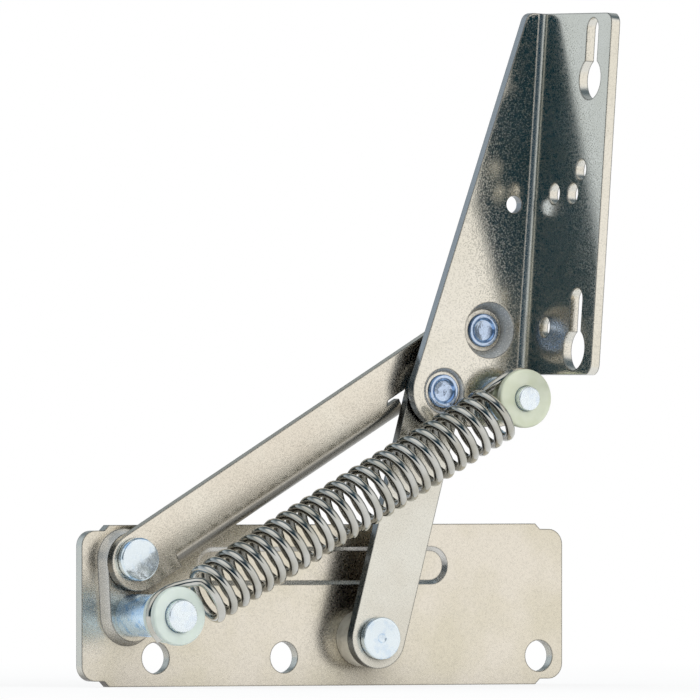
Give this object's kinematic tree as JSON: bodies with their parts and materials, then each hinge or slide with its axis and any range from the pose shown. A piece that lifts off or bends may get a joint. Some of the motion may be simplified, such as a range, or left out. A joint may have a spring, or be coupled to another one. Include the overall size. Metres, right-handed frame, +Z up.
{
  "type": "flap stay",
  "caption": "Spring-assisted flap stay: base plate, two riveted arms, an angle bracket for the lid and a tension spring on nylon spools, shown open.",
  "frame": {"origin": "on the mounting face, midway between the two outer screw holes of the base plate", "axes": "+X along the base plate toward the lid bracket, +Y into the cabinet side, +Z up"},
  "size_m": [0.1202, 0.0427, 0.1461],
  "materials": {
    "plate_zinc": "satin galvanised",
    "arm_zinc": "satin zinc plated",
    "rivet_zinc": "bright zinc plated",
    "spring_steel": "bright drawn wire",
    "nylon": "satin"
  },
  "bodies": {
    "base": {"base_plate": "plate_zinc", "long_arm_base_rivet": "rivet_zinc", "short_arm_base_rivet": "rivet_zinc", "short_arm_spacer": "rivet_zinc", "lower_spring_pin": "rivet_zinc"},
    "short_arm": {"short_arm": "arm_zinc"},
    "long_arm": {"long_arm": "arm_zinc", "long_arm_lid_rivet_tail": "rivet_zinc"},
    "lid_bracket": {"lid_bracket": "plate_zinc", "long_arm_lid_rivet": "rivet_zinc", "short_arm_lid_rivet": "rivet_zinc", "upper_spring_pin": "rivet_zinc"},
    "spring": {"lower_spring_bush": "nylon", "spring_coil": "spring_steel"},
    "spring_end": {"spring_upper_hook": "spring_steel"},
    "upper_bush": {"upper_spring_bush": "nylon"}
  },
  "joints": [
    {"name": "lid_bracket_hinge", "type": "hinge", "parent": "short_arm", "child": "lid_bracket", "pos_m": [0.0178, -0.0095, 0.0577], "axis": [0, -1, 0], "range_deg": [0, 150.51], "stiffness_Nm_per_rad": 0.05, "springref_deg": -57.3},
    {"name": "short_arm_hinge", "type": "hinge", "parent": "base", "child": "short_arm", "pos_m": [0.0032, -0.0092, 0.0041], "axis": [0, 1, 0], "range_deg": [0, 56.53]},
    {"name": "long_arm_hinge", "type": "hinge", "parent": "base", "child": "long_arm", "pos_m": [-0.0558, -0.0068, 0.0214], "axis": [0, 1, 0], "range_deg": [0, 24.08]},
    {"name": "spring_swing", "type": "hinge", "parent": "base", "child": "spring", "pos_m": [-0.0551, -0.0227, 0.0093], "axis": [0, 1, 0], "range_deg": [0, 15.47]},
    {"name": "spring_stretch", "type": "slide", "parent": "spring", "child": "spring_end", "axis": [0.8793, 0, 0.4763], "range_m": [0, 0.01641], "deforming": ["spring_coil", "spring_upper_hook"]},
    {"name": "upper_bush_turn", "type": "hinge", "parent": "lid_bracket", "child": "upper_bush", "pos_m": [0.0313, -0.0227, 0.0561], "axis": [0, 1, 0], "range_deg": [0, 109.47]}
  ],
  "couplings": [
    {"joint": "short_arm_hinge", "follows": "lid_bracket_hinge", "ratio": 0.37547},
    {"joint": "long_arm_hinge", "follows": "lid_bracket_hinge", "ratio": 0.15984},
    {"joint": "spring_swing", "follows": "lid_bracket_hinge", "ratio": 0.10265},
    {"joint": "spring_stretch", "follows": "lid_bracket_hinge", "m_per_rad": 0.0062381},
    {"joint": "upper_bush_turn", "follows": "lid_bracket_hinge", "ratio": 0.72718}
  ]
}
